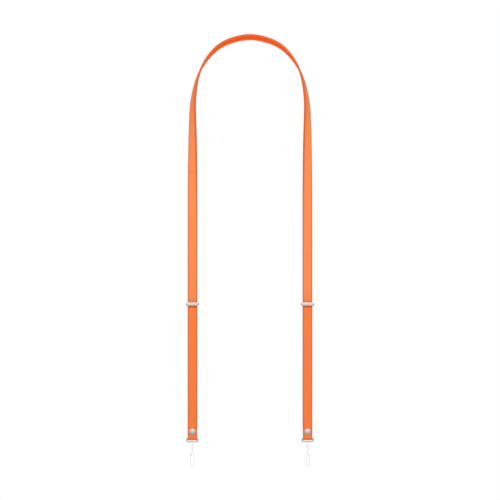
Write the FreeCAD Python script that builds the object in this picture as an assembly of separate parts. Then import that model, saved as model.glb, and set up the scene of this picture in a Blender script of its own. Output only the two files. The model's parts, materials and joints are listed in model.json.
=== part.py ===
"""Adjustable strap lanyard: one woven strap hung in an arch, and a sliding end assembly on each leg.

Millimetres. +Z is up, +X is across the two legs, and the legs' front faces look along -Y. The origin is
on the underside of the strap at the crown of the arch, where a shoulder, neck or hook carries it.
"""
import FreeCAD, Part
import math
import os

V = FreeCAD.Vector

# ---- driving dimensions ----
STRAP_WIDTH = 11.8          # the main strap
END_STRAP_WIDTH = 11.5
STRAP_THICKNESS = 2.6
LEG_X = 70.1                # centre line of a leg, from the middle of the lanyard
LEG_Y = -14.5               # the legs hang this far in front of the crown
TAIL_END_Z = -479.4         # where the main strap's tail stops

SLIDER_Z = -328.0           # centre of the slider at the shortest setting
SLIDER_WIDTH = 16.1
SLIDER_HEIGHT = 4.0
SLIDER_CROWNING = 4.5       # radius of the front bar's rounded face
STUD_Z = -483.4             # centre of the stud
RING_Z = -491.45            # axis of the ring's upper bar
RING_DROP = 3.7             # from the upper bar's axis down to the lower bar's

# Places from front to back are measured from the middle of the main strap, front negative.
BAND_FRONT = -3.8           # front face of the end strap's doubled band
BAND_BACK = -2.0
LAYER = 0.9                 # one layer of end strap
PIN_Y = -3.15
PIN_RADIUS = 0.55
BAR_INNER = -4.7            # the slider's front bar
BAR_FRONT = -5.8
PLATE_INNER = 2.3           # the slider's back plate
PLATE_BACK = 3.1
TUNNEL_HALF = 6.05          # half the width of the slider's opening

PIN_HALF_LENGTH = 7.2
PIN_CLEARANCE = 0.02        # round the pin, in the slider's posts and in the end strap's fold
SCREW_INSET = 1.05          # from the slider's end to a screw's axis
SCREW_RADIUS = 0.4
SCREW_HEAD_RADIUS = 0.8
SCREW_TIP_Y = -1.0
COUNTERBORE_DEPTH = 0.4     # for a screw's head, in the back plate

FOLD_TAPER = 3.3            # length over which the end strap's layers open round the pin or the ring
RING_CLEARANCE = 0.06       # round the ring's upper bar, in the end strap's fold
RING_HIGH_HALF = 6.8        # half the wire's centre line along the ring's upper bar
RING_LOW_HALF = 6.5
SHANK_RADIUS = 1.1          # the stud's shank
SHANK_HOLE_RADIUS = 1.15
WIRE_RADIUS = 0.85
CORD_RADIUS = 0.45

# The main strap's route, from the crown down the right leg. The left leg is its mirror image.
HALF_ROUTE = [
    (10.0, 0.3, 1.3),
    (35.1, -2.0, -7.4),
    (51.7, -6.0, -24.0),
    (63.8, -10.2, -46.5),
    (69.8, -13.1, -78.1),
    (LEG_X, LEG_Y, -108.0),
    (LEG_X, LEG_Y, TAIL_END_Z),
]
# The strap's face turns from looking up at the crown to looking forward on the legs.
FACE_TURN_AT_CROWN = 103.5  # degrees from facing forward
FACE_TURN_LENGTH = 165.2    # mm of strap over which most of the turn is made
FACE_TURN_POWER = 1.99
STATION_STEPS = (6.0, 30.0)     # between stations along the strap, where it curves and where it is straight
CURVED_LENGTH = 300.0       # from the crown to where a leg is straight
PANEL_STATIONS = 8          # stations along the strap that one run of faces covers

# A cord loop's route, from the ring's lower bar: x is outward, y is back, z is up.
# It starts and ends inside the splice on its outer strand.
LOOP_ROUTE = [
    (1.56, -0.10, -16.2),
    (1.36, -0.05, -14.7),
    (0.95, 0.25, -11.6),
    (0.50, 0.65, -7.4),
    (0.42, 1.25, -3.4),
    (0.32, 1.38, -1.2),
    (0.15, 1.38, 0.57),
    (0.05, 0.57, 1.38),
    (-0.05, -0.57, 1.38),
    (-0.15, -1.38, 0.57),
    (-0.32, -1.38, -1.2),
    (-0.42, -1.25, -3.4),
    (-0.50, -0.65, -7.4),
    (-0.95, -0.25, -11.6),
    (-1.36, 0.05, -15.0),
    (-1.70, 0.10, -20.0),
    (-2.15, 0.10, -24.6),
    (-1.95, 0.05, -28.4),
    (-0.75, 0.00, -31.3),
    (0.75, 0.00, -31.3),
    (2.15, -0.05, -28.4),
    (2.55, -0.10, -24.8),
    (2.35, -0.15, -20.6),
    (1.80, -0.12, -18.0),
    (1.60, -0.10, -16.5),
]


# ---- routes: straight runs joined by tangent arcs ----
def corner_arc(before, corner, after, share=0.45, radius=None):
    """The arc that rounds a corner, as its first, middle and last points, and its radius."""
    back = before - corner
    ahead = after - corner
    half_turn = (math.pi - back.getAngle(ahead)) / 2
    shorter = min(back.Length, ahead.Length)
    if radius is None:
        radius = share * shorter / math.tan(half_turn)
    reach = radius * math.tan(half_turn)
    start = corner + back.normalize() * reach
    end = corner + ahead.normalize() * reach
    inward = (back + ahead).normalize()
    middle = corner + inward * (radius / math.cos(half_turn) - radius)
    return start, middle, end, radius


def route_path(points, name):
    """A wire along an open route, with every corner's radius printed."""
    edges = []
    radii = []
    place = points[0]
    for before, corner, after in zip(points, points[1:], points[2:]):
        start, middle, end, radius = corner_arc(before, corner, after)
        edges.append(Part.LineSegment(place, start).toShape())
        edges.append(Part.Arc(start, middle, end).toShape())
        radii.append(radius)
        place = end
    edges.append(Part.LineSegment(place, points[-1]).toShape())
    print(name, "corner radii:", " ".join("%.2f" % radius for radius in radii))
    return Part.Wire(edges)


def closed_path(corners):
    """A closed wire from (corner, radius) pairs."""
    count = len(corners)
    arcs = []
    for index, (corner, radius) in enumerate(corners):
        before = corners[index - 1][0]
        after = corners[(index + 1) % count][0]
        arcs.append(corner_arc(before, corner, after, radius=radius))
    edges = []
    for index, (start, middle, end, radius) in enumerate(arcs):
        edges.append(Part.Arc(start, middle, end).toShape())
        edges.append(Part.LineSegment(end, arcs[(index + 1) % count][0]).toShape())
    return Part.Wire(edges)


def tube(path, radius, start, direction):
    """A round tube along a wire."""
    ring = Part.Wire([Part.Circle(start, direction, radius).toShape()])
    return path.makePipeShell([ring], True, False)


def tube_pieces(path, radius):
    """A round tube along a closed wire, made of cylinders and torus segments fused end to end."""
    solid = None
    for edge in path.Edges:
        start = edge.valueAt(edge.FirstParameter)
        along = edge.tangentAt(edge.FirstParameter)
        disc = Part.Face(Part.Wire([Part.Circle(start, along, radius).toShape()]))
        if isinstance(edge.Curve, Part.Line):
            span = edge.valueAt(edge.LastParameter) - start
            piece = disc.extrude(span)
        else:
            turn = math.degrees(edge.Length / edge.Curve.Radius)
            axis = along.cross(edge.Curve.Center - start)
            piece = disc.revolve(edge.Curve.Center, axis, turn)
        solid = piece if solid is None else solid.fuse(piece)
    return solid.removeSplitter()


# ---- small helpers for the pieces on a leg, in the leg's own frame (x out, y back, z up) ----
def prism_yz(points, half_width):
    """A polygon in the YZ plane, extruded across the leg."""
    corners = [V(-half_width, y, z) for y, z in points]
    outline = Part.makePolygon(corners + [corners[0]])
    return Part.Face(outline).extrude(V(2 * half_width, 0, 0))


def block(half_width, front, back, low, high):
    return Part.makeBox(2 * half_width, back - front, high - low, V(-half_width, front, low))


def rod_x(radius, half_length, y, z):
    return Part.makeCylinder(radius, 2 * half_length, V(-half_length, y, z), V(1, 0, 0))


def rod_y(radius, front, back, x, z):
    return Part.makeCylinder(radius, back - front, V(x, front, z), V(0, 1, 0))


def pill(width, height, front, back, z):
    """A block with half-round ends, flat on its front and back."""
    end = height / 2
    middle = width / 2 - end
    top_left = V(-middle, front, z + end)
    top_right = V(middle, front, z + end)
    low_right = V(middle, front, z - end)
    low_left = V(-middle, front, z - end)
    edges = [
        Part.LineSegment(top_left, top_right).toShape(),
        Part.Arc(top_right, V(middle + end, front, z), low_right).toShape(),
        Part.LineSegment(low_right, low_left).toShape(),
        Part.Arc(low_left, V(-middle - end, front, z), top_left).toShape(),
    ]
    return Part.Face(Part.Wire(edges)).extrude(V(0, back - front, 0))


def edges_at(shape, y):
    """The edges that lie in one plane across the depth."""
    found = []
    for edge in shape.Edges:
        box = edge.BoundBox
        if abs(box.YMin - y) < 1e-4 and abs(box.YMax - y) < 1e-4:
            found.append(edge)
    return found


def turned_y(profile, x, z):
    """A solid of revolution about a front-to-back axis, from (radius, y) points."""
    corners = [V(x + radius, y, z) for radius, y in profile]
    outline = Part.makePolygon(corners + [corners[0]])
    return Part.Face(outline).revolve(V(x, 0, z), V(0, 1, 0), 360)


# ---- main strap ----
def strap_stations(path_edges):
    """Distances, places and directions along the right half, a few millimetres apart."""
    stations = []
    run = 0.0
    for edge in path_edges:
        step = STATION_STEPS[0] if run < CURVED_LENGTH else STATION_STEPS[1]
        count = max(1, round(edge.Length / step))
        for index in range(count):
            at = edge.getParameterByLength(edge.Length * index / count)
            stations.append((run + edge.Length * index / count, edge.valueAt(at), edge.tangentAt(at)))
        run += edge.Length
    last = path_edges[-1]
    stations.append((run, last.valueAt(last.LastParameter), last.tangentAt(last.LastParameter)))
    return stations


def strap_corners(distance, place, along):
    """The four corners of the strap's section, with its face turned by the distance from the crown."""
    forward = V(0, -1, 0)
    forward = (forward - along * forward.dot(along)).normalize()
    side = along.cross(forward)
    turn = -FACE_TURN_AT_CROWN * math.exp(-((distance / FACE_TURN_LENGTH) ** FACE_TURN_POWER))
    turn = math.radians(turn)
    face = forward * math.cos(turn) + side * math.sin(turn)
    across = along.cross(face)
    half_width = across * (STRAP_WIDTH / 2)
    half_depth = face * (STRAP_THICKNESS / 2)
    return [
        place + half_width + half_depth,
        place - half_width + half_depth,
        place - half_width - half_depth,
        place + half_width - half_depth,
    ]


def panel_faces(sections, distances):
    """The four long faces over a few stations, ruled between smooth edges."""
    rails = []
    for corner in range(4):
        rail = Part.BSplineCurve()
        rail.interpolate(Points=[section[corner] for section in sections], Parameters=distances)
        rails.append(rail.toShape())
    return [Part.makeRuledSurface(rails[index], rails[(index + 1) % 4]) for index in range(4)]


def mirrored(point):
    return V(-point.x, point.y, point.z)


def make_main_strap():
    right = [V(*point) for point in HALF_ROUTE]
    whole = [mirrored(point) for point in reversed(right)] + right
    path = route_path(whole, "main_strap")
    crown = len(path.Edges) // 2
    top = path.Edges[crown]
    middle = V(0, right[0].y, right[0].z)
    first = Part.LineSegment(middle, top.valueAt(top.LastParameter)).toShape()
    stations = strap_stations([first] + path.Edges[crown + 1:])
    right_side = [strap_corners(*station) for station in stations]
    left_side = [[mirrored(point) for point in section] for section in reversed(right_side[1:])]
    sections = left_side + right_side
    distances = [-station[0] for station in reversed(stations[1:])] + [station[0] for station in stations]
    faces = []
    for first in range(0, len(sections) - 1, PANEL_STATIONS):
        last = min(first + PANEL_STATIONS, len(sections) - 1)
        faces += panel_faces(sections[first:last + 1], distances[first:last + 1])
    for section in (sections[0], sections[-1]):
        faces.append(Part.Face(Part.makePolygon(section + [section[0]])))
    shell = Part.makeShell(faces)
    shell.sewShape()
    solid = Part.makeSolid(shell)
    print("main_strap length %.1f" % path.Length)
    compare("main_strap", solid, STRAP_WIDTH * STRAP_THICKNESS * path.Length)
    return solid


def compare(name, solid, expected):
    """Print a swept solid's volume against its section times its length."""
    found = (name, solid.Volume, expected, solid.isValid())
    print("%s volume %.1f, section times length %.1f, valid %s" % found)


# ---- pieces on one leg ----
def make_tail_tip():
    """A crimped end clamp with a stop bead on its back wall, which the slider can't pass."""
    half = STRAP_THICKNESS / 2
    half_width = END_STRAP_WIDTH / 2 - 0.1
    front_wall = 0.35
    back_wall = 0.5
    bead_radius = 1.0
    top = TAIL_END_Z + 8.0
    bottom = TAIL_END_Z - 0.4
    front = block(half_width, -half - front_wall, -half, bottom, top)
    back = block(half_width, half, half + back_wall, bottom, top)
    floor = block(half_width, -half, half, bottom, TAIL_END_Z)
    bead = rod_x(bead_radius, half_width, half + back_wall, top - bead_radius)
    bead = bead.common(block(half_width, half, half + back_wall + bead_radius, bottom, top))
    return front.fuse([back, floor, bead]).removeSplitter()


def screw_places():
    reach = SLIDER_WIDTH / 2 - SCREW_INSET
    return (-reach, reach)


def make_slider_front():
    """The bridge seen from the front: a domed bar with a post at each end, reaching the back plate."""
    rounding = 0.55
    thread_clearance = 0.02
    drill_end = SCREW_TIP_Y - 0.2
    body = pill(SLIDER_WIDTH, SLIDER_HEIGHT, BAR_FRONT, PLATE_INNER, SLIDER_Z)
    body = body.makeFillet(rounding, edges_at(body, BAR_FRONT))
    body = body.common(rod_x(SLIDER_CROWNING, SLIDER_WIDTH, BAR_FRONT + SLIDER_CROWNING, SLIDER_Z))
    tunnel = block(TUNNEL_HALF, BAR_INNER, PLATE_INNER, SLIDER_Z - SLIDER_HEIGHT, SLIDER_Z + SLIDER_HEIGHT)
    body = body.cut(tunnel)
    body = body.cut(rod_x(PIN_RADIUS + PIN_CLEARANCE, PIN_HALF_LENGTH + 0.1, PIN_Y, SLIDER_Z))
    for x in screw_places():
        body = body.cut(rod_y(SCREW_RADIUS + thread_clearance, drill_end, PLATE_INNER, x, SLIDER_Z))
    return body


def make_slider_back():
    rounding = 0.3
    counterbore_floor = PLATE_BACK - COUNTERBORE_DEPTH
    plate = pill(SLIDER_WIDTH, SLIDER_HEIGHT, PLATE_INNER, PLATE_BACK, SLIDER_Z)
    plate = plate.makeFillet(rounding, edges_at(plate, PLATE_BACK))
    for x in screw_places():
        plate = plate.cut(rod_y(SCREW_RADIUS + 0.1, PLATE_INNER, PLATE_BACK, x, SLIDER_Z))
        plate = plate.cut(rod_y(SCREW_HEAD_RADIUS + 0.05, counterbore_floor, PLATE_BACK, x, SLIDER_Z))
    return plate


def make_slider_screws():
    seat = PLATE_BACK - COUNTERBORE_DEPTH + 0.02
    top = PLATE_BACK - 0.05
    slot_depth = 0.15
    slot_half_width = 0.11
    slot_reach = 1.0
    screws = []
    for x in screw_places():
        profile = [(0, SCREW_TIP_Y), (SCREW_RADIUS, SCREW_TIP_Y), (SCREW_RADIUS, seat),
                   (SCREW_HEAD_RADIUS, seat), (SCREW_HEAD_RADIUS, top), (0, top)]
        screw = turned_y(profile, x, SLIDER_Z)
        slot = block(slot_reach, top - slot_depth, top, -slot_half_width, slot_half_width)
        slot.translate(V(x, 0, SLIDER_Z))
        screws.append(screw.cut(slot))
    return Part.makeCompound(screws)


def make_slider_pin():
    return rod_x(PIN_RADIUS, PIN_HALF_LENGTH, PIN_Y, SLIDER_Z)


def make_slider_spring():
    """A leaf bowed towards the main strap's back face."""
    half_length = 4.6
    half_height = 1.5
    thickness = 0.15
    edge_y = PLATE_INNER - thickness
    crown_y = edge_y - 0.6
    low_z = SLIDER_Z - half_height
    front_left = V(-half_length, edge_y, low_z)
    front_right = V(half_length, edge_y, low_z)
    back_left = V(-half_length, edge_y + thickness, low_z)
    back_right = V(half_length, edge_y + thickness, low_z)
    front = Part.Arc(front_left, V(0, crown_y, low_z), front_right).toShape()
    back = Part.Arc(back_right, V(0, crown_y + thickness, low_z), back_left).toShape()
    right_end = Part.LineSegment(front_right, back_right).toShape()
    left_end = Part.LineSegment(back_left, front_left).toShape()
    outline = Part.Wire([front, right_end, back, left_end])
    return Part.Face(outline).extrude(V(0, 0, 2 * half_height))


def make_end_strap():
    """A strap folded round the slider's pin and round the ring, its two layers sewn face to face."""
    half = END_STRAP_WIDTH / 2
    centre = (BAND_FRONT + BAND_BACK) / 2
    ring_hole = WIRE_RADIUS + RING_CLEARANCE
    pin_hole = PIN_RADIUS + PIN_CLEARANCE
    ring_fold = ring_hole + LAYER
    pin_fold = pin_hole + LAYER
    band = block(half, BAND_FRONT, BAND_BACK, RING_Z, SLIDER_Z)
    low_taper = prism_yz([(centre - ring_fold, RING_Z), (centre + ring_fold, RING_Z),
                          (BAND_BACK, RING_Z + FOLD_TAPER), (BAND_FRONT, RING_Z + FOLD_TAPER)], half)
    high_taper = prism_yz([(PIN_Y - pin_fold, SLIDER_Z), (BAND_FRONT, SLIDER_Z - FOLD_TAPER),
                           (BAND_BACK, SLIDER_Z - FOLD_TAPER), (PIN_Y + pin_fold, SLIDER_Z)], half)
    low_fold = rod_x(ring_fold, half, centre, RING_Z)
    high_fold = rod_x(pin_fold, half, PIN_Y, SLIDER_Z)
    folds = [low_taper, high_taper, low_fold, high_fold]
    strap = band.fuse(folds)
    strap = strap.cut(rod_x(ring_hole, half, centre, RING_Z))
    strap = strap.cut(rod_x(pin_hole, half, PIN_Y, SLIDER_Z))
    strap = strap.cut(rod_y(SHANK_HOLE_RADIUS, BAND_FRONT, BAND_BACK, 0, STUD_Z))
    return strap.removeSplitter()


def make_stud_cap():
    """The domed shell seen from the front, open at its back."""
    rim = BAND_FRONT
    outside = [(0, rim - 1.45), (1.9, rim - 1.38), (3.1, rim - 1.05),
               (3.8, rim - 0.6), (4.1, rim - 0.2), (4.1, rim)]
    inside = [(3.75, rim), (3.75, rim - 0.2), (3.45, rim - 0.5),
              (2.9, rim - 0.78), (1.8, rim - 1.05), (0, rim - 1.1)]
    return turned_y(outside + inside, 0, STUD_Z)


def make_stud_socket():
    """The ring-shaped plate inside the cap, against the strap."""
    rim = BAND_FRONT
    top = rim - 0.4
    profile = [(SHANK_HOLE_RADIUS, rim), (3.6, rim), (3.3, top), (SHANK_HOLE_RADIUS, top)]
    return turned_y(profile, 0, STUD_Z)


def make_stud_rivet():
    """A back flange and a shank through the strap, flared inside the cap."""
    flange_radius = 3.5
    flange_back = BAND_BACK + 0.45
    chamfer = 0.2
    flare_back = BAND_FRONT - 0.42
    flare_front = BAND_FRONT - 0.75
    profile = [(0, flange_back), (flange_radius - chamfer, flange_back),
               (flange_radius, flange_back - chamfer), (flange_radius, BAND_BACK),
               (SHANK_RADIUS, BAND_BACK), (SHANK_RADIUS, flare_back),
               (1.7, flare_back), (1.6, flare_front), (0, flare_front)]
    return turned_y(profile, 0, STUD_Z)


def make_end_ring():
    """Bent wire: the upper bar lies in the strap's fold, and the lower bar is a little shorter."""
    y = (BAND_FRONT + BAND_BACK) / 2
    low = RING_Z - RING_DROP
    high_bend = 0.95
    low_bend = 1.7
    corners = [
        (V(-RING_HIGH_HALF, y, RING_Z), high_bend),
        (V(RING_HIGH_HALF, y, RING_Z), high_bend),
        (V(RING_LOW_HALF, y, low), low_bend),
        (V(-RING_LOW_HALF, y, low), low_bend),
    ]
    return tube_pieces(closed_path(corners), WIRE_RADIUS)


def loop_points():
    y = (BAND_FRONT + BAND_BACK) / 2
    bar = V(0, y, RING_Z - RING_DROP)
    return [V(*point) + bar for point in LOOP_ROUTE]


def make_cord_loop():
    points = loop_points()
    path = route_path(points, "cord_loop")
    solid = tube(path, CORD_RADIUS, points[0], points[1] - points[0])
    print("cord_loop length %.2f" % path.Length)
    compare("cord_loop", solid, math.pi * CORD_RADIUS ** 2 * path.Length)
    return solid


def make_loop_splice():
    """A shrunk sleeve that joins the cord's two ends."""
    points = loop_points()
    start = points[-2]
    along = points[1] - start
    middle = (points[0] + points[-1]) * 0.5
    length = 2.4
    bore = CORD_RADIUS + 0.04
    wall = 0.14
    base = middle - along.normalize() * (length / 2)
    sleeve = Part.makeCylinder(bore + wall, length, base, along)
    return sleeve.cut(Part.makeCylinder(bore, length, base, along))


LEG_PIECES = {
    "tail_tip": make_tail_tip,
    "slider_front": make_slider_front,
    "slider_back": make_slider_back,
    "slider_screws": make_slider_screws,
    "slider_pin": make_slider_pin,
    "slider_spring": make_slider_spring,
    "end_strap": make_end_strap,
    "stud_cap": make_stud_cap,
    "stud_socket": make_stud_socket,
    "stud_rivet": make_stud_rivet,
    "end_ring": make_end_ring,
    "cord_loop": make_cord_loop,
    "loop_splice": make_loop_splice,
}


def save(shape, node):
    print("%-22s volume %9.3f solids %d valid %s" % (node, shape.Volume, len(shape.Solids), shape.isValid()))
    shape.exportStep("parts/%s.step" % node)


def main():
    os.makedirs("parts", exist_ok=True)
    save(make_main_strap(), "main_strap")
    for name, make in LEG_PIECES.items():
        piece = make()
        piece.translate(V(LEG_X, LEG_Y, 0))
        save(piece, "right_" + name)
        save(piece.mirror(V(0, 0, 0), V(1, 0, 0)), "left_" + name)


main()
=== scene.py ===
"""Looks of the strap lanyard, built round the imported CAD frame.

Metres. +Z is up, the legs' front faces look along -Y, and the origin is under the crown of the arch.
"""
import bpy
import json
import math
import numpy as np
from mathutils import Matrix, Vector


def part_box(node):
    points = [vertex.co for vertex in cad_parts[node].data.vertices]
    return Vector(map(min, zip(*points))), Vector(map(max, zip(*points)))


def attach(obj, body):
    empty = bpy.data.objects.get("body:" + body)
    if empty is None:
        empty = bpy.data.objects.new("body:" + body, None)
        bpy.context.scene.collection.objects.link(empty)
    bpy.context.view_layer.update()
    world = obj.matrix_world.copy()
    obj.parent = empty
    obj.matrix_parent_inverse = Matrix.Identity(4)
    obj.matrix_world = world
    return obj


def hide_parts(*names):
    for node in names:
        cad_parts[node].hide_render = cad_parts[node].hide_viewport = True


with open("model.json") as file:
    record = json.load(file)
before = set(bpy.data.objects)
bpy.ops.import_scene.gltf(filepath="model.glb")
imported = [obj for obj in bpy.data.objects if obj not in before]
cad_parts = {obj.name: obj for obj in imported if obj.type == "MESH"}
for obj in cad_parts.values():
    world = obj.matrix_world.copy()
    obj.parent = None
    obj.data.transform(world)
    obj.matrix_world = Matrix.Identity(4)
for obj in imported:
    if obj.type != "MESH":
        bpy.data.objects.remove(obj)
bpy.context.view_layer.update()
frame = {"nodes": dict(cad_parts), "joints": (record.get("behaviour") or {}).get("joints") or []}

# ---- sizes, in metres ----
STRAP_WIDTH = 0.0118
END_STRAP_WIDTH = 0.0115
STRAP_THICKNESS = 0.0026
LAYER = 0.0009              # one layer of end strap
CORD_DIAMETER = 0.0009
FOLD_TAPER = 0.0033         # length over which the two layers open round a pin or a ring
PIN_HOLE_RADIUS = 0.00057   # inside the fold over the slider's pin
RING_HOLE_RADIUS = 0.00091  # inside the fold round the ring's upper bar
BACK_SEAM_DROP = 0.012      # from the pin down to where the end strap's two ends meet

LEG_X = 0.0701
LEG_Y = -0.0145
TAIL_END_Z = -0.4794

# The main strap's route, from the crown down the right leg. The left leg is its mirror image.
HALF_ROUTE = [
    (0.0100, 0.0003, 0.0013),
    (0.0351, -0.0020, -0.0074),
    (0.0517, -0.0060, -0.0240),
    (0.0638, -0.0102, -0.0465),
    (0.0698, -0.0131, -0.0781),
    (LEG_X, LEG_Y, -0.1080),
    (LEG_X, LEG_Y, TAIL_END_Z),
]
# The strap's face turns from looking up at the crown to looking forward on the legs.
FACE_TURN_AT_CROWN = 103.5  # degrees from facing forward
FACE_TURN_LENGTH = 0.1652   # length of strap over which most of the turn is made
FACE_TURN_POWER = 1.99

# A cord loop's route, from the ring's lower bar: x is outward, y is back, z is up.
LOOP_ROUTE = [
    (0.00156, -0.00010, -0.0162),
    (0.00136, -0.00005, -0.0147),
    (0.00095, 0.00025, -0.0116),
    (0.00050, 0.00065, -0.0074),
    (0.00042, 0.00125, -0.0034),
    (0.00032, 0.00138, -0.0012),
    (0.00015, 0.00138, 0.00057),
    (0.00005, 0.00057, 0.00138),
    (-0.00005, -0.00057, 0.00138),
    (-0.00015, -0.00138, 0.00057),
    (-0.00032, -0.00138, -0.0012),
    (-0.00042, -0.00125, -0.0034),
    (-0.00050, -0.00065, -0.0074),
    (-0.00095, -0.00025, -0.0116),
    (-0.00136, 0.00005, -0.0150),
    (-0.00170, 0.00010, -0.0200),
    (-0.00215, 0.00010, -0.0246),
    (-0.00195, 0.00005, -0.0284),
    (-0.00075, 0.00000, -0.0313),
    (0.00075, 0.00000, -0.0313),
    (0.00215, -0.00005, -0.0284),
    (0.00255, -0.00010, -0.0248),
    (0.00235, -0.00015, -0.0206),
    (0.00180, -0.00012, -0.0180),
    (0.00160, -0.00010, -0.0165),
]

SIDES = {"left": -1.0, "right": 1.0}
JOINTS = {joint["name"]: joint for joint in frame["joints"]}


def maths(nodes, links, operation, *values):
    """A maths node; each value is a number to set or an output to link."""
    node = nodes.new("ShaderNodeMath")
    node.operation = operation
    for socket, value in zip(node.inputs, values):
        if isinstance(value, (int, float)):
            socket.default_value = value
        else:
            links.new(value, socket)
    return node.outputs[0]


def rescale(nodes, links, value, low, high, low_result=0.0, high_result=1.0):
    """A value between low and high, spread over 0 to 1 or over the two results."""
    node = nodes.new("ShaderNodeMapRange")
    node.inputs["From Min"].default_value = low
    node.inputs["From Max"].default_value = high
    node.inputs["To Min"].default_value = low_result
    node.inputs["To Max"].default_value = high_result
    links.new(value, node.inputs["Value"])
    return node.outputs[0]


# ---- camera, floor and light ----
KEY_WATTS = 22.0                    # from above the camera
FILL_WATTS = 11.0                   # from behind
SOFT_LIGHT = (0.80, 0.42)           # on cloth, from below and from above
SOFT_SIDES = 1.5                    # share of it at the far left and right
MIRRORED_LIGHT = (0.54, 0.97, 1.36)     # in the metal, from below, level and above
MIRRORED_SIDES = 0.75


def make_camera():
    distance = 1.0              # from the legs' front faces
    view_width = 0.610          # seen across at the legs
    data = bpy.data.cameras.new("camera")
    data.sensor_width = 36.0
    data.lens = data.sensor_width * distance / view_width
    camera = bpy.data.objects.new("camera", data)
    camera.location = (0.0, LEG_Y - distance, -0.2622)
    camera.rotation_euler = (math.radians(90), 0.0, 0.0)
    bpy.context.scene.collection.objects.link(camera)
    bpy.context.scene.camera = camera


def area_light(name, place, target, size, watts):
    data = bpy.data.lights.new(name, "AREA")
    data.shape = "RECTANGLE"
    data.size, data.size_y = size
    data.energy = watts
    light = bpy.data.objects.new(name, data)
    light.location = place
    aim = Vector(target) - light.location
    light.rotation_euler = aim.to_track_quat("-Z", "Y").to_euler()
    bpy.context.scene.collection.objects.link(light)
    return light


def make_studio():
    floor_z = -0.80
    radius = 0.70
    count = 96
    turns = [2 * math.pi * index / count for index in range(count)]
    rim = [(radius * math.cos(turn), radius * math.sin(turn), floor_z) for turn in turns]
    mesh = bpy.data.meshes.new("floor")
    mesh.from_pydata(rim, [], [tuple(range(count))])
    floor = bpy.data.objects.new("floor", mesh)
    bpy.context.scene.collection.objects.link(floor)
    floor.data.materials.append(floor_material())
    floor.visible_glossy = False
    middle = (0.0, LEG_Y, -0.25)
    key = area_light("key", (0.0, -1.15, 0.80), middle, (1.0, 0.5), KEY_WATTS)
    key.visible_glossy = False
    fill = area_light("fill", (0.0, 1.30, 0.10), middle, (1.0, 1.0), FILL_WATTS)
    fill.visible_glossy = False
    make_world()
    bpy.context.scene.view_settings.view_transform = "Standard"


def ramp(nodes, links, source, stops):
    """Grey levels at places from 0 to 1."""
    node = nodes.new("ShaderNodeValToRGB")
    links.new(source, node.inputs[0])
    elements = node.color_ramp.elements
    while len(elements) < len(stops):
        elements.new(0.5)
    for element, (place, level) in zip(elements, stops):
        element.position = place
        element.color = (level, level, level, 1.0)
    return node.outputs[0]


def make_world():
    """White to the camera, soft light for cloth, and a brighter sky than ground for metal to mirror."""
    world = bpy.data.worlds.new("studio")
    bpy.context.scene.world = world
    world.use_nodes = True
    nodes = world.node_tree.nodes
    links = world.node_tree.links
    nodes.clear()
    place = nodes.new("ShaderNodeTexCoord")
    split = nodes.new("ShaderNodeSeparateXYZ")
    links.new(place.outputs["Generated"], split.inputs[0])
    height = rescale(nodes, links, split.outputs["Z"], -1.0, 1.0)
    sideways = maths(nodes, links, "ABSOLUTE", split.outputs["X"])
    soft = ramp(nodes, links, height, [(0.2, SOFT_LIGHT[0]), (0.8, SOFT_LIGHT[1])])
    low, level, high = MIRRORED_LIGHT
    mirrored = ramp(nodes, links, height, [(0.15, low), (0.50, level), (0.80, high)])
    mirrored_sides = ramp(nodes, links, sideways, [(0.25, 1.0), (0.80, MIRRORED_SIDES)])
    soft_sides = ramp(nodes, links, sideways, [(0.25, 1.0), (0.80, SOFT_SIDES)])
    output = nodes.new("ShaderNodeOutputWorld")
    rays = nodes.new("ShaderNodeLightPath")
    cloth_light = nodes.new("ShaderNodeBackground")
    metal_light = nodes.new("ShaderNodeBackground")
    seen = nodes.new("ShaderNodeBackground")
    links.new(soft, cloth_light.inputs["Color"])
    links.new(mirrored, metal_light.inputs["Color"])
    links.new(mirrored_sides, metal_light.inputs["Strength"])
    links.new(soft_sides, cloth_light.inputs["Strength"])
    seen.inputs["Color"].default_value = (1.0, 1.0, 1.0, 1.0)
    by_glossy = nodes.new("ShaderNodeMixShader")
    links.new(rays.outputs["Is Glossy Ray"], by_glossy.inputs[0])
    links.new(cloth_light.outputs[0], by_glossy.inputs[1])
    links.new(metal_light.outputs[0], by_glossy.inputs[2])
    by_camera = nodes.new("ShaderNodeMixShader")
    links.new(rays.outputs["Is Camera Ray"], by_camera.inputs[0])
    links.new(by_glossy.outputs[0], by_camera.inputs[1])
    links.new(seen.outputs[0], by_camera.inputs[2])
    links.new(by_camera.outputs[0], output.inputs[0])


# ---- routes ----
def nurbs_line(name, points, resolution):
    """The points of the smooth line that has these as its control points."""
    data = bpy.data.curves.new(name, "CURVE")
    data.dimensions = "3D"
    data.resolution_u = resolution
    spline = data.splines.new("NURBS")
    spline.points.add(len(points) - 1)
    for control, point in zip(spline.points, points):
        control.co = (*point, 1.0)
    spline.order_u = 3
    spline.use_endpoint_u = True
    holder = bpy.data.objects.new(name, data)
    mesh = bpy.data.meshes.new_from_object(holder)
    line = np.array([vertex.co for vertex in mesh.vertices], float)
    bpy.data.meshes.remove(mesh)
    bpy.data.objects.remove(holder)
    bpy.data.curves.remove(data)
    return line


def distances_along(line):
    steps = np.linalg.norm(np.diff(line, axis=0), axis=1)
    return np.concatenate([[0.0], np.cumsum(steps)])


def even_stations(line, step):
    """Places a step apart along a line, their distances and their directions."""
    along = distances_along(line)
    count = max(2, int(round(along[-1] / step)) + 1)
    at = np.linspace(0.0, along[-1], count)
    places = np.stack([np.interp(at, along, line[:, axis]) for axis in range(3)], axis=1)
    directions = np.gradient(places, at, axis=0)
    directions /= np.linalg.norm(directions, axis=1)[:, None]
    return at, places, directions


def unit(vectors):
    return vectors / np.linalg.norm(vectors, axis=-1, keepdims=True)


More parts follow.
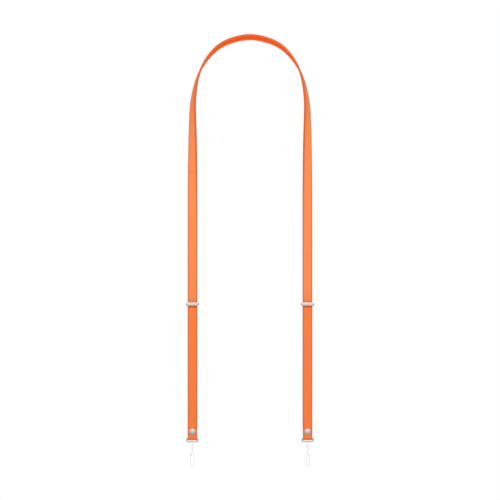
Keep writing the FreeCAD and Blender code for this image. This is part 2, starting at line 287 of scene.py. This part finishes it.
# ---- meshes ----
def smooth_piece(name, vertices, faces):
    mesh = bpy.data.meshes.new(name)
    mesh.from_pydata([tuple(vertex) for vertex in vertices], [], faces)
    mesh.polygons.foreach_set("use_smooth", [True] * len(mesh.polygons))
    mesh.update()
    piece = bpy.data.objects.new(name, mesh)
    bpy.context.scene.collection.objects.link(piece)
    return piece


def skin(name, rings, around, along):
    """A closed tube from rings of points, with a UV map in millimetres: around the ring, and along it."""
    count, size = rings.shape[:2]
    vertices = rings.reshape(-1, 3)
    faces = []
    coordinates = []
    for row in range(count - 1):
        for column in range(size):
            after = (column + 1) % size
            faces.append((row * size + column, row * size + after,
                          (row + 1) * size + after, (row + 1) * size + column))
            low_u, high_u = around[column] * 1000, around[column + 1] * 1000
            low_v, high_v = along[row] * 1000, along[row + 1] * 1000
            coordinates += [(low_u, low_v), (high_u, low_v), (high_u, high_v), (low_u, high_v)]
    for row, order in ((0, range(size - 1, -1, -1)), (count - 1, range(size))):
        faces.append([row * size + column for column in order])
        coordinates += [(around[column] * 1000, along[row] * 1000) for column in order]
    piece = smooth_piece(name, vertices, faces)
    layer = piece.data.uv_layers.new(name="UVMap")
    layer.data.foreach_set("uv", np.array(coordinates, np.float32).ravel())
    return piece


def turned(name, profile, centre, axis, segments):
    """A closed surface of revolution from (distance along the axis, radius) points; radius 0 is a pole."""
    axis = unit(np.array(axis, float))
    one = unit(np.cross(axis, [0.3, 0.1, 0.9]))
    two = np.cross(axis, one)
    vertices = []
    rows = []
    for height, radius in profile:
        count = segments if radius > 0 else 1
        rows.append(list(range(len(vertices), len(vertices) + count)))
        for index in range(count):
            angle = 2 * math.pi * index / segments
            outward = math.cos(angle) * one + math.sin(angle) * two
            vertices.append(centre + axis * height + radius * outward)
    faces = []
    for row, after in zip(rows, rows[1:] + rows[:1]):
        for index in range(segments):
            beside = (index + 1) % segments
            corners = [row[index % len(row)], after[index % len(after)],
                       after[beside % len(after)], row[beside % len(row)]]
            distinct = list(dict.fromkeys(corners))
            if len(distinct) > 2:
                faces.append(distinct)
    return smooth_piece(name, vertices, faces)


def strap_section(width, thickness, easing):
    """The outline of a woven strap: flat faces with a fine channel near each edge, and eased corners."""
    across = 20                 # points on each face
    corner = 4                  # steps round each corner
    half_width, half_depth = width / 2, thickness / 2
    flat = half_width - easing
    upright = half_depth - easing
    channel_depth = 0.03 * thickness
    channel_width = 0.0004
    points = []
    for face in (1, -1):
        for index in range(across):
            place = flat * (1 - 2 * index / across) * face
            inset = channel_depth * math.exp(-(((abs(place) - flat) / channel_width + 2) ** 2))
            points.append((place, face * (half_depth - inset)))
        down = [index / corner for index in range(1, corner + 1)]
        up = [1 - index / corner for index in range(corner)]
        for side, shares in ((face, down), (-face, up)):
            for share in shares:
                turn = math.radians(90) * share
                out = flat + easing * math.sin(turn)
                points.append((-face * out, side * (upright + easing * math.cos(turn))))
    return np.array(points)


def ring_distances(section):
    closed = np.vstack([section, section[:1]])
    return distances_along(closed)


def zone_widths(section):
    """The width of a strap's flat face and half the way round it, in millimetres."""
    flat = section[0, 0] * 2
    half_way_round = ring_distances(section)[-1] / 2
    return flat * 1000, half_way_round * 1000


def sweep(name, places, width_ways, depth_ways, section, along):
    """A section carried along places, with its own across and depth directions at each."""
    rings = (places[:, None, :]
             + section[None, :, 0, None] * width_ways[:, None, :]
             + section[None, :, 1, None] * depth_ways[:, None, :])
    return skin(name, rings, ring_distances(section), along)


# ---- main strap ----
def strap_ways(distance, directions):
    """The strap's across and face directions at each distance from the crown, on the right half."""
    forward = np.array([0.0, -1.0, 0.0])
    forward = unit(forward - directions * (directions @ forward)[:, None])
    side = np.cross(directions, forward)
    turn = -FACE_TURN_AT_CROWN * np.exp(-((distance / FACE_TURN_LENGTH) ** FACE_TURN_POWER))
    turn = np.radians(turn)[:, None]
    face = forward * np.cos(turn) + side * np.sin(turn)
    return np.cross(directions, face), face


def make_main_strap():
    mirror = np.array([-1.0, 1.0, 1.0])
    right = np.array(HALF_ROUTE)
    route = np.vstack([(right * mirror)[::-1], right])
    line = nurbs_line("main_strap_route", route, resolution=64)
    at, places, directions = even_stations(line, step=0.001)
    from_crown = at - at[-1] / 2
    onward = np.where(from_crown[:, None] < 0, -directions * mirror, directions)
    across, face = strap_ways(np.abs(from_crown), onward)
    across = np.where(from_crown[:, None] < 0, across * mirror, across)
    face = np.where(from_crown[:, None] < 0, face * mirror, face)
    section = strap_section(STRAP_WIDTH, STRAP_THICKNESS, easing=0.0004)
    strap = sweep("main_strap_webbing", places, across, face, section, from_crown)
    weave = webbing_material("main_webbing_weave", MAIN_TONES, MAIN_SHADE_BANDS, MAIN_SHADED_BACK_LENGTH, section)
    strap.data.materials.append(weave)
    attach(strap, "root")
    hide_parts("main_strap")


# ---- end straps ----
def smooth_step(share):
    share = np.clip(share, 0.0, 1.0)
    return share * share * (3 - 2 * share)


def end_strap_line(pin, ring):
    """The middle of one layer, as (y, z): up the back, over the pin, down the front and round the ring."""
    middle = ring[0]
    bare = LAYER / 2
    open_ring = RING_HOLE_RADIUS + bare
    open_pin = PIN_HOLE_RADIUS + bare
    seam = pin[1] - BACK_SEAM_DROP
    half_gap = 0.0002           # between the two ends
    step = 0.0003
    half_turn = np.linspace(0.0, math.pi, 18)
    cosines, sines = np.cos(half_turn), np.sin(half_turn)

    def layer(z, face):
        at_ring = smooth_step(1 - (z - ring[1]) / FOLD_TAPER)
        at_pin = smooth_step(1 - (pin[1] - z) / FOLD_TAPER)
        y = middle + face * bare
        y = y + at_ring * face * (open_ring - bare)
        return y + at_pin * (pin[0] + face * open_pin - middle - face * bare)

    rising = np.arange(seam + half_gap, pin[1], step)
    falling = np.arange(pin[1], ring[1], -step)
    back_up = np.arange(ring[1], seam - half_gap, step)
    pieces = [
        np.stack([layer(rising, 1), rising], axis=1),
        np.stack([pin[0] + open_pin * cosines, pin[1] + open_pin * sines], axis=1),
        np.stack([layer(falling, -1), falling], axis=1)[1:],
        np.stack([ring[0] - open_ring * cosines, ring[1] - open_ring * sines], axis=1),
        np.stack([layer(back_up, 1), back_up], axis=1)[1:],
    ]
    return np.vstack(pieces)


def make_end_strap(side, sign):
    low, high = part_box(side + "_slider_pin")
    pin = ((low.y + high.y) / 2, (low.z + high.z) / 2)
    ring = JOINTS[side + "_ring_swing"]["pos_m"][1:]
    line = end_strap_line(pin, ring)
    line = np.column_stack([np.full(len(line), sign * LEG_X), line])
    at, places, directions = even_stations(line, step=0.00045)
    across = np.tile([1.0, 0.0, 0.0], (len(at), 1))
    face = unit(np.cross(directions, across))
    section = strap_section(END_STRAP_WIDTH, LAYER, easing=0.00022)
    strap = sweep(side + "_end_webbing", places, across, face, section, at)
    weave = webbing_material("end_webbing_weave", END_TONES, END_SHADE_BANDS, END_BACK_LENGTH, section)
    strap.data.materials.append(weave)
    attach(strap, side + "_end")
    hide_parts(side + "_end_strap")


# ---- cord loops ----
BRAID_STRANDS = 8
BRAID_PITCH = 2.2           # mm along the cord between strands that wind the same way


def turning_frames(directions):
    """Two directions square to a line that follow it without spinning."""
    normals = [unit(np.cross(directions[0], [0.0, 1.0, 0.0]))]
    for direction in directions[1:]:
        carried = normals[-1] - direction * (normals[-1] @ direction)
        normals.append(unit(carried))
    normals = np.array(normals)
    return normals, np.cross(directions, normals)


def braided_tube(name, line, radius):
    """A cord whose surface rises and falls like a fine braid."""
    at, places, directions = even_stations(line, step=0.00012)
    one, two = turning_frames(directions)
    size = 24
    relief = 0.045              # of the radius
    around = np.linspace(0.0, 2 * math.pi, size, endpoint=False)
    phase = 2 * math.pi * at[:, None] / (BRAID_PITCH / 1000)
    left_hand = np.cos(BRAID_STRANDS / 2 * around[None, :] + phase)
    right_hand = np.cos(BRAID_STRANDS / 2 * around[None, :] - phase)
    swell = radius * (1 - relief + relief * np.maximum(left_hand, right_hand))
    rings = (places[:, None, :]
             + (swell * np.cos(around))[:, :, None] * one[:, None, :]
             + (swell * np.sin(around))[:, :, None] * two[:, None, :])
    circle = np.linspace(0.0, 2 * math.pi * radius, size + 1)
    return skin(name, rings, circle, at), places


def make_cord_loop(side, sign):
    bar = np.array(JOINTS[side + "_loop_swing"]["pos_m"])
    route = np.array(LOOP_ROUTE) * [sign, 1.0, 1.0] + bar
    line = nurbs_line(side + "_loop_route", route, resolution=24)
    cord, places = braided_tube(side + "_loop_cord", line, CORD_DIAMETER / 2)
    cord.data.materials.append(cord_material())
    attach(cord, side + "_loop")
    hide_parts(side + "_cord_loop")
    sleeve = make_splice(side, route)


def make_splice(side, route):
    """A shrunk sleeve over the cord's two ends, drawn in at both mouths."""
    middle = (route[0] + route[-1]) / 2
    along = unit(route[1] - route[-2])
    length = 0.0024
    outer_radius = 0.00061
    inner_radius = 0.00048
    drawn_in = 0.00009
    ripple = 0.00001
    shares = np.linspace(-0.5, 0.5, 33)
    outside = outer_radius - drawn_in * np.abs(2 * shares) ** 4 + ripple * np.cos(shares * 40)
    inside = np.full(len(shares), inner_radius)
    profile = [(share * length, radius) for share, radius in zip(shares, outside)]
    profile += [(share * length, radius) for share, radius in zip(shares[::-1], inside)]
    sleeve = turned(side + "_splice_sleeve", profile, middle, along, segments=32)
    sleeve.data.materials.append(sleeve_material())
    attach(sleeve, side + "_loop")
    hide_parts(side + "_loop_splice")
    return sleeve


# ---- studs ----
def make_stud_cap(side):
    """A pressed dome: a small upright rim, a rolled shoulder and a slightly flattened middle."""
    low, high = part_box(side + "_stud_cap")
    centre = np.array([(low.x + high.x) / 2, high.y, (low.z + high.z) / 2])
    radius = (high.x - low.x) / 2
    height = high.y - low.y
    lip = 0.00014
    shoulder = 0.00032
    dish_radius = 0.0013
    wall = 0.0003
    outside = [(0.0, radius), (lip, radius)]
    for index in range(1, 9):
        turn = math.radians(70 * index / 8)
        outside.append((lip + shoulder * math.sin(turn) * 0.8, radius - shoulder * (1 - math.cos(turn))))
    last_height, last_radius = outside[-1]
    for index in range(1, 25):
        share = index / 24
        place = last_radius * (1 - share) if index < 24 else 0.0
        rise = 1 - (place / last_radius) ** 2.4
        dish = 0.03 * math.exp(-((place / dish_radius) ** 2))
        outside.append((last_height + (height - last_height) * (rise - dish), place))
    inside = [(max(up - wall, 0.0), out * (1 - wall / radius)) for up, out in reversed(outside)]
    cap = turned(side + "_stud_dome", outside + inside, centre, (0.0, -1.0, 0.0), segments=96)
    cap.data.materials.append(metal_material("stud_nickel"))
    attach(cap, side + "_end")
    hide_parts(side + "_stud_cap")


# ---- materials ----
# Widths, in mm, of the bands beside the two selvedges on each face, and how softly they end.
BORDERS = {"front": (1.2, 1.2, 0.4), "back": (3.4, 0.5, 1.6)}
# Each zone of a strap has the colour of its hollows and of its thread tops; the darker hollows are painted
# shade.
MAIN_TONES = {
    "front": ((0.66, 0.170, 0.052), (0.75, 0.210, 0.070)),
    # partly a woven border, partly painted shade of the rounded edge
    "front border": ((0.47, 0.132, 0.048), (0.55, 0.165, 0.061)),
    # painted shade of the arch's underside
    "back": ((0.87, 0.075, 0.001), (0.94, 0.091, 0.002)),
    # painted light at the rear edge of the arch's underside
    "back border": ((0.84, 0.150, 0.030), (0.94, 0.185, 0.042)),
    # partly the woven edge, partly painted shade on the side walls
    "selvedge": ((0.46, 0.080, 0.018), (0.56, 0.105, 0.026)),
}
END_TONES = {
    "front": ((0.68, 0.136, 0.034), (0.77, 0.172, 0.045)),
    # partly a woven border, partly painted shade of the rounded edge
    "front border": ((0.49, 0.118, 0.040), (0.57, 0.148, 0.051)),
    "back": ((0.76, 0.100, 0.016), (0.86, 0.125, 0.022)),
    "back border": ((0.60, 0.092, 0.018), (0.70, 0.115, 0.026)),
    # partly the woven edge, partly painted shade on the side walls
    "selvedge": ((0.46, 0.076, 0.016), (0.56, 0.098, 0.022)),
}
# Painted shade in stretches across a strap: from and to, in mm along it, how softly they end, and how dark
# they are. On the main strap it is the shade of a faint crease in the left leg; on the end strap it is the
# shadow under the slider's bar and the shade in the fold round the ring.
MAIN_SHADE_BANDS = [(-207.4, -204.6, 0.8, 0.22)]      # from the crown: a faint crease in the left leg
END_SHADE_BANDS = [                                   # from the back seam
    (17.2, 19.7, 0.3, 0.7),                     # under the slider's bar
    (178.2, 184.0, 0.3, 0.7),                   # the fold round the ring
]
# The back's redder colour reaches this far along a strap, in mm: round the arch, where it is painted shade
# of the arch's underside, and all of the end strap.
MAIN_SHADED_BACK_LENGTH = 190.0
END_BACK_LENGTH = 1000.0
# The colour and the roughness of each metal. The pink in the slider's and the stud's colour is painted
# reflection of the orange strap.
METALS = {
    "slider_nickel": ((0.82, 0.735, 0.705), 0.24),
    "stud_nickel": ((0.72, 0.64, 0.60), 0.26),
    "ring_nickel": ((0.68, 0.65, 0.62), 0.22),
    "inner_steel": ((0.45, 0.45, 0.46), 0.34),
}


def new_material(name):
    material = bpy.data.materials.new(name)
    material.use_nodes = True
    nodes = material.node_tree.nodes
    return material, nodes, material.node_tree.links, nodes["Principled BSDF"]


def window(nodes, links, value, low, high, soft):
    """1 between two places, falling to 0 outside them."""
    rise = rescale(nodes, links, value, low - soft, low + soft)
    fall = rescale(nodes, links, value, high - soft, high + soft, 1.0, 0.0)
    return maths(nodes, links, "MULTIPLY", rise, fall)


def blend(nodes, links, share, first, second):
    """A colour between two; each is a colour to set or an output to link."""
    node = nodes.new("ShaderNodeMix")
    node.data_type = "RGBA"
    links.new(share, node.inputs["Factor"])
    for socket, colour in ((node.inputs["A"], first), (node.inputs["B"], second)):
        if isinstance(colour, tuple):
            socket.default_value = (*colour, 1.0)
        else:
            links.new(colour, socket)
    return node.outputs["Result"]


def noise(nodes, links, place, scale, detail):
    """Grey clouds."""
    node = nodes.new("ShaderNodeTexNoise")
    node.inputs["Scale"].default_value = scale
    node.inputs["Detail"].default_value = detail
    links.new(place, node.inputs["Vector"])
    return node.outputs["Fac"]


def stretched(nodes, links, place, scale):
    """A place multiplied along each axis, so that what is drawn there is drawn out or squeezed."""
    node = nodes.new("ShaderNodeMapping")
    node.inputs["Scale"].default_value = scale
    links.new(place, node.inputs["Vector"])
    return node.outputs[0]


def unrolled_place(nodes, links):
    """The place on a swept piece in millimetres, with the distance round it and the distance along it."""
    place = nodes.new("ShaderNodeUVMap")
    place.uv_map = "UVMap"
    split = nodes.new("ShaderNodeSeparateXYZ")
    links.new(place.outputs[0], split.inputs[0])
    return place.outputs[0], split.outputs["X"], split.outputs["Y"]


def add_relief(nodes, links, shader, height, strength, distance):
    """Fine hills and hollows that catch the light."""
    bump = nodes.new("ShaderNodeBump")
    bump.inputs["Strength"].default_value = strength
    bump.inputs["Distance"].default_value = distance
    links.new(height, bump.inputs["Height"])
    links.new(bump.outputs[0], shader.inputs["Normal"])


def woven_threads(nodes, links, place, around, along):
    """How high the round threads of a plain weave stand."""
    pitch_across = 0.62
    pitch_along = 0.54
    drift = maths(nodes, links, "MULTIPLY_ADD", noise(nodes, links, place, 0.35, 2.0), 0.30, -0.15)
    across = maths(nodes, links, "ADD", around, drift)
    onward = maths(nodes, links, "ADD", along, drift)
    warp = maths(nodes, links, "SINE", maths(nodes, links, "MULTIPLY", across, math.pi / pitch_across))
    weft = maths(nodes, links, "SINE", maths(nodes, links, "MULTIPLY", onward, math.pi / pitch_along))
    order = maths(nodes, links, "MULTIPLY", maths(nodes, links, "MULTIPLY", warp, weft), 2.5)
    over = rescale(nodes, links, order, -1.0, 1.0)
    under = maths(nodes, links, "SUBTRACT", 1.0, over)
    warp_top = maths(nodes, links, "MULTIPLY", maths(nodes, links, "ABSOLUTE", warp), over)
    weft_top = maths(nodes, links, "MULTIPLY", maths(nodes, links, "ABSOLUTE", weft), under)
    return maths(nodes, links, "MAXIMUM", warp_top, weft_top)


def webbing_material(name, tones, shade_bands, back_length, section):
    """A plain weave drawn in the strap's own millimetres, with its borders and selvedges, and with painted
    light and shade: in its hollows, along its edges, round the arch and in stretches across it.
    """
    if name in bpy.data.materials:
        return bpy.data.materials[name]
    material, nodes, links, shader = new_material(name)
    flat_width, half_way_round = zone_widths(section)
    place, around, along = unrolled_place(nodes, links)

    height = woven_threads(nodes, links, place, around, along)
    fibres = noise(nodes, links, stretched(nodes, links, place, (1.0, 0.25, 1.0)), 9.0, 4.0)
    relief = maths(nodes, links, "MULTIPLY_ADD", fibres, 0.25, height)
    patches = noise(nodes, links, place, 0.06, 3.0)
    shade = maths(nodes, links, "MULTIPLY_ADD", patches, 0.30, -0.12)
    # Painted shade: the weave's hollows are drawn darker than its thread tops; the patches add tone that
    # differs at random.
    level = rescale(nodes, links, maths(nodes, links, "ADD", relief, shade), 0.15, 0.85)
    colours = {zone: blend(nodes, links, level, *pair) for zone, pair in tones.items()}

    in_half = maths(nodes, links, "MODULO", around, half_way_round)
    faces = []
    for side, (near, far, softness) in BORDERS.items():
        middle = window(nodes, links, in_half, near, flat_width - far, softness)
        faces.append(blend(nodes, links, middle, colours[side + " border"], colours[side]))
    # Round the arch the back takes the redder back colour: painted shade of the underside.
    back_side = window(nodes, links, around, half_way_round - 1.0, 2 * half_way_round - 1.0, 0.2)
    from_start = maths(nodes, links, "ABSOLUTE", along)
    back_reach = rescale(nodes, links, from_start, back_length - 50.0, back_length + 50.0, 1.0, 0.0)
    back = maths(nodes, links, "MULTIPLY", back_side, back_reach)
    face = blend(nodes, links, back, *faces)

    # The selvedges are drawn darker: partly the woven edge, partly painted shade on the side walls.
    dark = window(nodes, links, in_half, flat_width + 0.05, half_way_round - 0.05, 0.12)
    # Painted shade: each stretch across the strap is drawn towards the selvedge colour.
    for low, high, softness, depth in shade_bands:
        shade_band = window(nodes, links, along, low, high, softness)
        dark = maths(nodes, links, "MAXIMUM", dark, maths(nodes, links, "MULTIPLY", shade_band, depth))
    links.new(blend(nodes, links, dark, face, colours["selvedge"]), shader.inputs["Base Color"])
    add_relief(nodes, links, shader, relief, 0.5, 0.00006)
    rough = maths(nodes, links, "MULTIPLY_ADD", height, -0.12, 0.86)
    links.new(rough, shader.inputs["Roughness"])
    shader.inputs["Specular IOR Level"].default_value = 0.06
    return material


def metal_material(name, shaded_ends=False):
    """Polished plate with faint rubbing marks and duller patches, and where asked with painted shade on
    its ends.
    """
    if name in bpy.data.materials:
        return bpy.data.materials[name]
    tone, roughness = METALS[name]
    material, nodes, links, shader = new_material(name)
    place = nodes.new("ShaderNodeTexCoord")
    on_piece = place.outputs["Object"]
    marks = noise(nodes, links, stretched(nodes, links, on_piece, (0.15, 1.0, 1.0)), 900.0, 5.0)
    patches = noise(nodes, links, on_piece, 260.0, 2.0)
    rough = maths(nodes, links, "MULTIPLY_ADD", marks, 0.10, roughness - 0.09)
    rough = maths(nodes, links, "MULTIPLY_ADD", patches, 0.08, rough)
    colour = blend(nodes, links, patches, tuple(part * 0.93 for part in tone), tone)
    # Painted shade: the ends of the bar, which turn away to the sides, are drawn darker.
    if shaded_ends:
        split = nodes.new("ShaderNodeSeparateXYZ")
        links.new(place.outputs["Generated"], split.inputs[0])
        unshaded_middle = window(nodes, links, split.outputs["X"], 0.075, 0.925, 0.02)
        colour = blend(nodes, links, unshaded_middle, tuple(part * 0.45 for part in tone), colour)
    links.new(colour, shader.inputs["Base Color"])
    links.new(rough, shader.inputs["Roughness"])
    shader.inputs["Metallic"].default_value = 1.0
    add_relief(nodes, links, shader, marks, 0.15, 0.00001)
    return material


def cord_material():
    """Fine off-white braid."""
    name = "loop_cord_braid"
    if name in bpy.data.materials:
        return bpy.data.materials[name]
    material, nodes, links, shader = new_material(name)
    place, around, along = unrolled_place(nodes, links)
    turn = maths(nodes, links, "MULTIPLY", around, BRAID_STRANDS / (CORD_DIAMETER * 1000))
    advance = maths(nodes, links, "MULTIPLY", along, 2 * math.pi / BRAID_PITCH)
    left = maths(nodes, links, "SINE", maths(nodes, links, "ADD", turn, advance))
    right = maths(nodes, links, "SINE", maths(nodes, links, "SUBTRACT", turn, advance))
    strands = maths(nodes, links, "MAXIMUM", left, right)
    fibres = noise(nodes, links, place, 14.0, 3.0)
    relief = maths(nodes, links, "MULTIPLY_ADD", fibres, 0.5, strands)
    # Painted shade: the braid is drawn darker between its strands, with random fibre tone on top.
    level = rescale(nodes, links, relief, -0.4, 1.3)
    colour = blend(nodes, links, level, (0.57, 0.57, 0.555), (0.78, 0.78, 0.765))
    links.new(colour, shader.inputs["Base Color"])
    add_relief(nodes, links, shader, relief, 0.4, 0.00003)
    shader.inputs["Roughness"].default_value = 0.7
    shader.inputs["Sheen Weight"].default_value = 0.15
    return material


def sleeve_material():
    """Milky shrunk plastic."""
    name = "splice_sleeve_plastic"
    if name in bpy.data.materials:
        return bpy.data.materials[name]
    material, nodes, links, shader = new_material(name)
    place = nodes.new("ShaderNodeTexCoord")
    cloud = noise(nodes, links, place.outputs["Object"], 1500.0, 3.0)
    colour = blend(nodes, links, cloud, (0.50, 0.50, 0.48), (0.60, 0.60, 0.58))
    links.new(colour, shader.inputs["Base Color"])
    rough = maths(nodes, links, "MULTIPLY_ADD", cloud, 0.2, 0.3)
    links.new(rough, shader.inputs["Roughness"])
    add_relief(nodes, links, shader, cloud, 0.2, 0.00001)
    return material


def floor_material():
    material, nodes, links, shader = new_material("pale_floor")
    place = nodes.new("ShaderNodeTexCoord")
    grain = noise(nodes, links, place.outputs["Generated"], 3.0, 2.0)
    colour = blend(nodes, links, grain, (0.90, 0.90, 0.90), (0.93, 0.93, 0.93))
    links.new(colour, shader.inputs["Base Color"])
    shader.inputs["Roughness"].default_value = 0.9
    return material


def finish_cad_nodes():
    """Metal for the CAD pieces that are shown as they are."""
    slider = metal_material("slider_nickel", shaded_ends=True)
    stud = metal_material("stud_nickel")
    ring = metal_material("ring_nickel")
    steel = metal_material("inner_steel")
    finishes = {
        "slider_front": slider,
        "slider_back": slider,
        "stud_rivet": stud,
        "end_ring": ring,
        "slider_screws": steel,
        "slider_pin": steel,
        "slider_spring": steel,
        "stud_socket": steel,
        "tail_tip": steel,
    }
    for side in SIDES:
        for name, material in finishes.items():
            node = frame["nodes"][side + "_" + name]
            node.data.materials.clear()
            node.data.materials.append(material)


make_camera()
make_main_strap()
for side_name, side_sign in SIDES.items():
    make_cord_loop(side_name, side_sign)
for side_name, side_sign in SIDES.items():
    make_end_strap(side_name, side_sign)
    make_stud_cap(side_name)
finish_cad_nodes()
make_studio()
